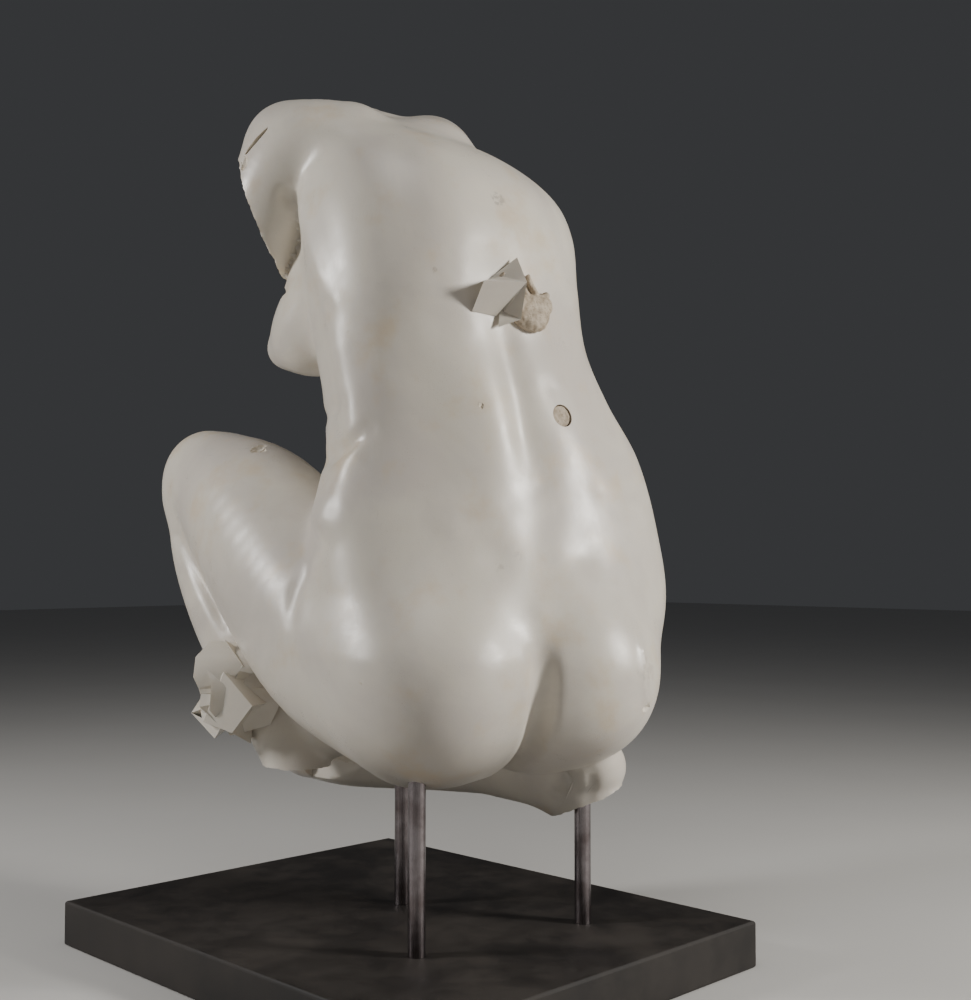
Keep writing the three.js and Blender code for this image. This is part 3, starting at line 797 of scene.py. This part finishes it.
def plinth_paint(settings):
    """Nearly black paint with a little dust."""
    n = Nodes("plinth_paint")
    smudge = n.noise(9.0, 6, 0.6)
    base = n.mix(n.span(smudge, 0.35, 0.7), tuple(settings.plinth_colour), PAINT_WORN)
    dust = n.cells(260.0)
    scatter = n.span(n.noise(40.0, 3, 0.6), 0.45, 0.6)
    mask = n.math("MULTIPLY", n.span(dust, 0.03, 0.08, 1.0, 0.0), scatter)
    base = n.mix(n.math("MULTIPLY", mask, 0.8), base, PAINT_DUST)
    n.set(Base_Color=base, Roughness=n.span(smudge, 0.3, 0.7, 0.5, 0.7))
    n.set(Normal=n.bump(n.noise(700.0, 3, 0.6), 0.12, 0.0005))
    return n.material


# ---------------------------------------------------------------- sizes and colours a user would change
def colour(name, description, default):
    return bpy.props.FloatVectorProperty(
        name=name, description=description, subtype="COLOR", default=default, min=0, max=1
    )


class TorsoSettings(bpy.types.PropertyGroup):
    """What the marble, the remnants and the plinth look like"""

    grain_size: bpy.props.FloatProperty(
        name="Skin facets",
        description="Size of the net that carries the carved skin",
        default=0.0056,
        min=0.004,
        unit="LENGTH",
    )
    marble_light: colour("Marble", "Colour of the clean polished marble", (0.74, 0.69, 0.60))
    marble_shade: colour("Marble veil", "Colour of the cooler clouds in the marble", (0.63, 0.58, 0.52))
    weathered_light: colour("Weathered marble", "Lighter colour of the unpolished remnants",
                            (0.52, 0.44, 0.34))
    weathered_dark: colour("Weathered marble, dark", "Darker colour of the unpolished remnants",
                           (0.36, 0.29, 0.21))
    plinth_colour: colour("Plinth", "Colour of the plinth's paint", (0.012, 0.010, 0.009))


# ---------------------------------------------------------------- the pieces
# The plug in the back, the small hand and the stub of a strut on the left calf.
PLUG_POINT, PLUG_AXIS, PLUG_RADIUS = (-65, 168.5, 643), (0.13, 0.97, 0.2), 14.0
# The plug's length in metres; its hole is a little wider, and runs from low to high past the plug's point.
PLUG_LENGTH, PLUG_GAP, PLUG_HOLE = 0.012, 0.8, (-12.3, 20)
# Where each rod stands, and its top. The sockets start below the marble and clear the rods.
RODS = {"rod_near": (116, 101, 300), "rod_right": (-131, 144, 215), "rod_far": (-30, -90, 225)}
SOCKET_RADIUS, SOCKET_FROM, SOCKET_GAP = 10.8, 100, 0.3
# Creases sharper than this, in degrees, stay crisp in the marble.
SHARP_ANGLE = 38
HAND_POSE = pose_along((0.22, 0.97, 0.09))
# The palm, the heel of the hand and the thumb: centre and radii.
HAND_PADS = [
    ((-36, 142, 773), (29, 24, 13)),
    ((-17, 139, 781), (14, 13, 10)),
    ((-57, 143, 784), (14, 15, 11)),
    ((-38, 145, 762), (21, 14, 12)),
    ((-64, 142, 797), (5, 6, 8)),
]
# Fingers from the knuckle to the broken tip, with both radii.
FINGERS = [
    ((-8, 135, 784), (16, 133, 800), 5.0, 4.2),
    ((-18, 139, 790), (6, 137, 812), 4.6, 4.4),
    ((-34, 142, 792), (-11, 137, 816), 4.6, 4.6),
    ((-50, 143, 792), (-36, 139, 815), 4.4, 4.6),
]
# The fingers run this far past both ends, in metres. The hand's net is finer than the body's.
FINGER_OVERLAP, HAND_NET, HAND_WEAR_PASSES = 0.012, 0.0013, 5
STRUT = Block((126, -226, 294), (0.72, 0.68, 0.1), 32, 56, 26)
# Chips and pits: centre and radii. Those on the knee lie along the knee's slope.
KNEE_SLOPE = (0.55, 0.1, 0.83)
CHIPS = [
    ("knee_chip", (112, -222, 622), (13, 22, 9)),
    ("knee_chip_deep", (116, -216, 616), (7, 9, 9)),
    ("hip_chip", (-112, 270, 282), (11, 8, 9)),
    ("back_pit", (50, 143, 649), (3.4, 3.4, 4.2)),
    ("back_pit_small", (56, 134, 699), (2.4, 2.4, 4.4)),
    ("thigh_pit", (209, 107, 324), (3.0, 4.0, 3.0)),
    ("flank_pit", (161, 21, 741), (3.0, 2.6, 4.0)),
    ("shoulder_chip", (186, -165, 985), (7, 9, 13)),
    ("arm_chip", (184, -178, 938), (8, 8, 12)),
]


class BuildTorso(bpy.types.Operator):
    """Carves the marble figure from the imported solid"""

    bl_idname = "torso.build_marble"
    bl_label = "Marble Figure"

    def execute(self, context):
        settings = context.scene.torso_settings
        polished = polished_marble(settings)
        broken = broken_marble()
        weathered = weathered_marble(settings)
        marble = merged_copy("torso", "marble_torso")
        mesh = even_net(marble, "even net", settings.grain_size)
        settle(mesh, CarvedBody())
        for material in (polished, broken, weathered):
            mesh.materials.append(material)

        tools = [(fractured_block(name, block, broken), "DIFFERENCE") for name, block in BREAKS.items()]
        tools.extend(self.damage(broken))
        tools.append((self.strut(polished, weathered), "UNION"))
        tools.append((self.hand(weathered), "UNION"))
        hole = round_bar("plug_hole", PLUG_RADIUS + PLUG_GAP, PLUG_POINT, PLUG_AXIS, *PLUG_HOLE, weathered)
        tools.append((hole, "DIFFERENCE"))
        for name, (x, y, top) in RODS.items():
            socket = round_bar(name + "_socket", SOCKET_RADIUS, (x, y, 0), (0, 0, 1),
                               SOCKET_FROM, top + SOCKET_GAP, broken, 32)
            tools.append((socket, "DIFFERENCE"))
        for tool, operation in tools:
            boolean(marble, tool, operation)
        mesh = applied(marble)
        for tool, _ in tools:
            bpy.data.objects.remove(tool)
        smooth_shaded(mesh)
        mesh.set_sharp_from_angle(angle=math.radians(SHARP_ANGLE))
        if not mesh.polygons:
            raise RuntimeError("the marble figure came out empty")
        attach(marble, "root")
        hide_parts("torso")
        return {"FINISHED"}

    def damage(self, material):
        """The slot in the shoulder, the chips and the pits, as lumps to take away."""
        knee = pose_along(KNEE_SLOPE)
        cuts = [chiselled("shoulder_slot", (172, -150, 1012), (3.2, 20, 26), self.slot_pose(),
                          material, 0.25)]
        for name, centre, radii in CHIPS:
            pose = knee if "knee" in name else np.eye(3)
            cuts.append(chiselled(name, centre, radii, pose, material, 0.4, 3))
        return [(cut, "DIFFERENCE") for cut in cuts]

    def slot_pose(self):
        """Turns the slot along the shoulder's slope, its depth running into the marble."""
        deep = Vector((-0.707, -0.707, 0))
        along = Vector((-0.52, 0.52, 0.68)).normalized()
        thick = deep.cross(along)
        return np.column_stack([thick, deep, along])

    def strut(self, clean, material):
        """The broken stub of a strut that once ran to the calf."""
        shape = bmesh.new()
        bmesh.ops.create_cube(shape, size=1)
        bmesh.ops.subdivide_edges(shape, edges=shape.edges, cuts=9, use_grid_fill=True)
        bmesh.ops.scale(shape, vec=STRUT.size / 1000, verts=shape.verts)
        for vert in shape.verts:
            p = vert.co * 1000
            vert.co += vert.normal * 0.0022 * noise.noise(p * 0.11)
            vert.co += vert.normal * 0.0008 * noise.noise(p * 0.5)
        clean_side = -0.4 * STRUT.size[0] / 1000
        for face in shape.faces:
            face.material_index = 0 if face.calc_center_median().x < clean_side else 1
        set_frame(shape, STRUT.axes, STRUT.point + STRUT.normal * STRUT.size[2] / 2)
        stub = finished(shape, "strut_stub", clean)
        stub.data.materials.append(material)
        return stub

    def hand(self, material):
        """The small hand of a second figure, left on the back with its fingers broken short."""
        shape = bmesh.new()
        for centre, radii in HAND_PADS:
            ball = bmesh.ops.create_icosphere(shape, subdivisions=4, radius=1)["verts"]
            bmesh.ops.scale(shape, vec=[r / 1000 for r in radii], verts=ball)
            set_frame(shape, HAND_POSE, centre, ball)
        for base, tip, thick, thin in FINGERS:
            run = Vector(tip) - Vector(base)
            length = run.length / 1000 + FINGER_OVERLAP
            bar = bmesh.ops.create_cone(shape, cap_ends=True, segments=20, radius1=thick / 1000,
                                        radius2=thin / 1000, depth=length)["verts"]
            middle = to_world((np.array(base) + np.array(tip)) / 2)
            pose = Matrix.Translation(middle) @ run.to_track_quat("Z", "Y").to_matrix().to_4x4()
            bmesh.ops.transform(shape, matrix=pose, verts=bar)
        hand = finished(shape, "small_hand", material)
        mesh = even_net(hand, "one skin", HAND_NET)
        edges = read_edges(mesh)
        points = read_points(mesh)
        for _ in range(HAND_WEAR_PASSES):
            points = points + 0.5 * (neighbour_mean(points, edges) - points)
        write_points(mesh, points)
        normals = read_normals(mesh)
        worn = [noise.noise(Vector(p) * 170) * 0.0011 + noise.noise(Vector(p) * 520) * 0.0004
                for p in points]
        write_points(mesh, points + normals * np.array(worn)[:, None])
        mesh.materials.clear()
        mesh.materials.append(material)
        return hand


class BuildPlug(bpy.types.Operator):
    """Turns the rough stone plug that fills the hole in the back"""

    bl_idname = "torso.build_plug"
    bl_label = "Back Plug"

    def execute(self, context):
        shape = bmesh.new()
        bmesh.ops.create_cone(shape, cap_ends=True, segments=48, radius1=PLUG_RADIUS / 1000,
                              radius2=PLUG_RADIUS / 1000, depth=PLUG_LENGTH)
        shape.faces.ensure_lookup_table()
        face = max(shape.faces, key=lambda f: f.calc_center_median().z)
        bmesh.ops.bevel(shape, geom=list(face.edges), offset=0.0012, offset_type="OFFSET",
                        affect="EDGES", segments=2, profile=0.5, material=-1)
        for _ in range(6):
            face = max(shape.faces, key=lambda f: (round(f.calc_center_median().z, 6), f.calc_area()))
            bmesh.ops.inset_region(shape, faces=[face], thickness=0.0018)
        for vert in shape.verts:
            if vert.co.z > 0.0055:
                dent = max(0, noise.noise(vert.co * 120))
                vert.co.z += 0.0007 * noise.noise(vert.co * 300) - 0.0009 * dent
        bmesh.ops.translate(shape, vec=(0, 0, -PLUG_LENGTH / 2), verts=shape.verts)
        set_frame(shape, pose_along(PLUG_AXIS), PLUG_POINT)
        plug = finished(shape, "stone_plug", weathered_marble(context.scene.torso_settings))
        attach(plug, "root")
        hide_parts("back_plug")
        return {"FINISHED"}


class BuildSupports(bpy.types.Operator):
    """Finishes the three steel rods and the dark plinth"""

    bl_idname = "torso.build_supports"
    bl_label = "Rods and Plinth"

    def execute(self, context):
        settings = context.scene.torso_settings
        finishes = dict.fromkeys(RODS, rod_steel())
        finishes["plinth"] = plinth_paint(settings)
        for node, material in finishes.items():
            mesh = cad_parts[node].data
            mesh.materials.clear()
            mesh.materials.append(material)
        return {"FINISHED"}


FLOOR_LIGHT, FLOOR_SHADE = (0.60, 0.59, 0.57), (0.64, 0.63, 0.61)
SKY_COLOUR, SKY_STRENGTH = (0.60, 0.62, 0.66, 1), 0.07
# Area lights: name, place, size, power and colour. All of them look at the middle of the figure.
LIGHTS = [
    ("right_softbox", (-1.1, 2.1, 1.3), (0.36, 0.6), 58, (1.0, 0.97, 0.92)),
    ("left_softbox", (2.1, -1.35, 1.5), (0.3, 0.6), 44, (1.0, 0.98, 0.96)),
    ("overhead", (0.8, 0.6, 3.0), (1.2, 1.2), 12, (1.0, 0.99, 0.97)),
]
LIGHTS_AIM = Vector((0, 0, 0.68))
# The camera stands to the left and behind, and looks slightly up along VIEW_LINE; lens and sensor in mm.
VIEW_EYE, VIEW_LINE = Vector((1.1717, 1.3307, 0.523)), Vector((-0.70710678, -0.70710678, 1 / 22))
VIEW_LENS, VIEW_SENSOR = 47.52, 36


class BuildStage(bpy.types.Operator):
    """Adds the floor, the studio lights and the camera"""

    bl_idname = "torso.build_stage"
    bl_label = "Stage"

    def execute(self, context):
        scene = context.scene
        shape = bmesh.new()
        bmesh.ops.create_grid(shape, x_segments=2, y_segments=2, size=12)
        mesh = bpy.data.meshes.new("floor")
        shape.to_mesh(mesh)
        shape.free()
        floor = new_object("floor", mesh)
        n = Nodes("pale_floor")
        n.set(Base_Color=n.mix(n.noise(3.0, 3, 0.5), FLOOR_LIGHT, FLOOR_SHADE), Roughness=0.7)
        mesh.materials.append(n.material)

        world = bpy.data.worlds.new("studio")
        scene.world = world
        world.use_nodes = True
        background = world.node_tree.nodes["Background"]
        background.inputs["Color"].default_value = SKY_COLOUR
        background.inputs["Strength"].default_value = SKY_STRENGTH

        for name, place, size, power, tint in LIGHTS:
            data = bpy.data.lights.new(name, "AREA")
            data.shape = "RECTANGLE"
            data.size, data.size_y = size
            data.energy = power
            data.color = tint
            lamp = bpy.data.objects.new(name, data)
            lamp.location = place
            lamp.rotation_euler = (LIGHTS_AIM - Vector(place)).to_track_quat("-Z", "Y").to_euler()
            scene.collection.objects.link(lamp)

        data = bpy.data.cameras.new("view")
        data.sensor_fit = "AUTO"
        data.sensor_width = VIEW_SENSOR
        data.lens = VIEW_LENS
        camera = bpy.data.objects.new("view", data)
        camera.location = VIEW_EYE
        camera.rotation_euler = VIEW_LINE.to_track_quat("-Z", "Y").to_euler()
        scene.collection.objects.link(camera)
        scene.camera = camera
        return {"FINISHED"}


class TorsoPanel(bpy.types.Panel):
    """Buttons for the figure, its supports and the stage"""

    bl_idname = "VIEW3D_PT_marble_torso"
    bl_label = "Marble Torso"
    bl_space_type = "VIEW_3D"
    bl_region_type = "UI"
    bl_category = "Marble Torso"

    def draw(self, context):
        settings = context.scene.torso_settings
        for name in ("grain_size", "marble_light", "marble_shade", "weathered_light", "weathered_dark",
                     "plinth_colour"):
            self.layout.prop(settings, name)
        for operator in OPERATORS:
            self.layout.operator(operator.bl_idname)


OPERATORS = (BuildTorso, BuildPlug, BuildSupports, BuildStage)
CLASSES = (TorsoSettings, *OPERATORS, TorsoPanel)


def register():
    for cls in CLASSES:
        bpy.utils.register_class(cls)
    bpy.types.Scene.torso_settings = bpy.props.PointerProperty(type=TorsoSettings)


def unregister():
    del bpy.types.Scene.torso_settings
    for cls in reversed(CLASSES):
        bpy.utils.unregister_class(cls)


def main():
    register()
    bpy.ops.torso.build_marble()
    bpy.ops.torso.build_plug()
    bpy.ops.torso.build_supports()
    bpy.ops.torso.build_stage()


if __name__ == "__main__":
    main()
